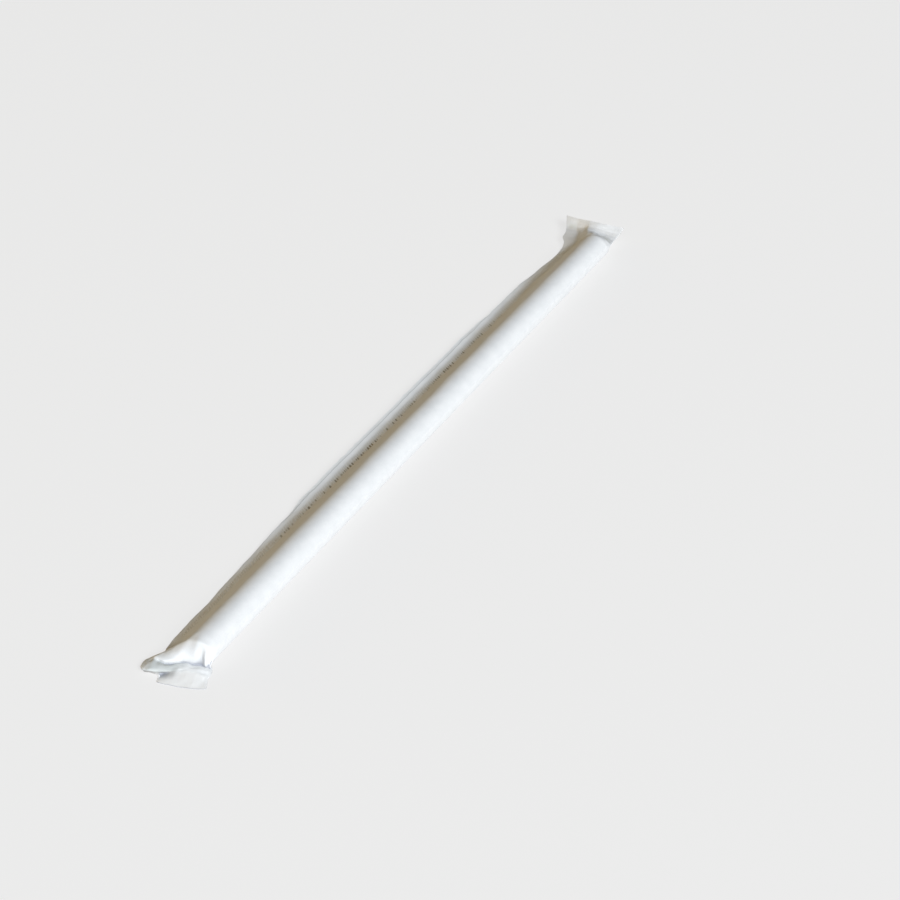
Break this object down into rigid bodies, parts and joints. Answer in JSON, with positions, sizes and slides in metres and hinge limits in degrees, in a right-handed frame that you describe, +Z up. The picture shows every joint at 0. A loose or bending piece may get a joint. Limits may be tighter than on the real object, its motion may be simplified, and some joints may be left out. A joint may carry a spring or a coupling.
{
  "type": "wrapped drinking straw",
  "caption": "Drinking straw sealed in a thin folded paper wrapper with a knurled side seam and crimped ends, lying flat.",
  "frame": {"origin": "middle of the whole packet's box, at its underside, on the surface it lies on", "axes": "+X along the straw from the crumpled end to the flat end, +Y towards the side seam, +Z up"},
  "size_m": [0.2178, 0.0186, 0.0065],
  "materials": {
    "wrapper_paper": "matte"
  },
  "bodies": {
    "root": {"wrapped_straw": "wrapper_paper"}
  },
  "joints": []
}
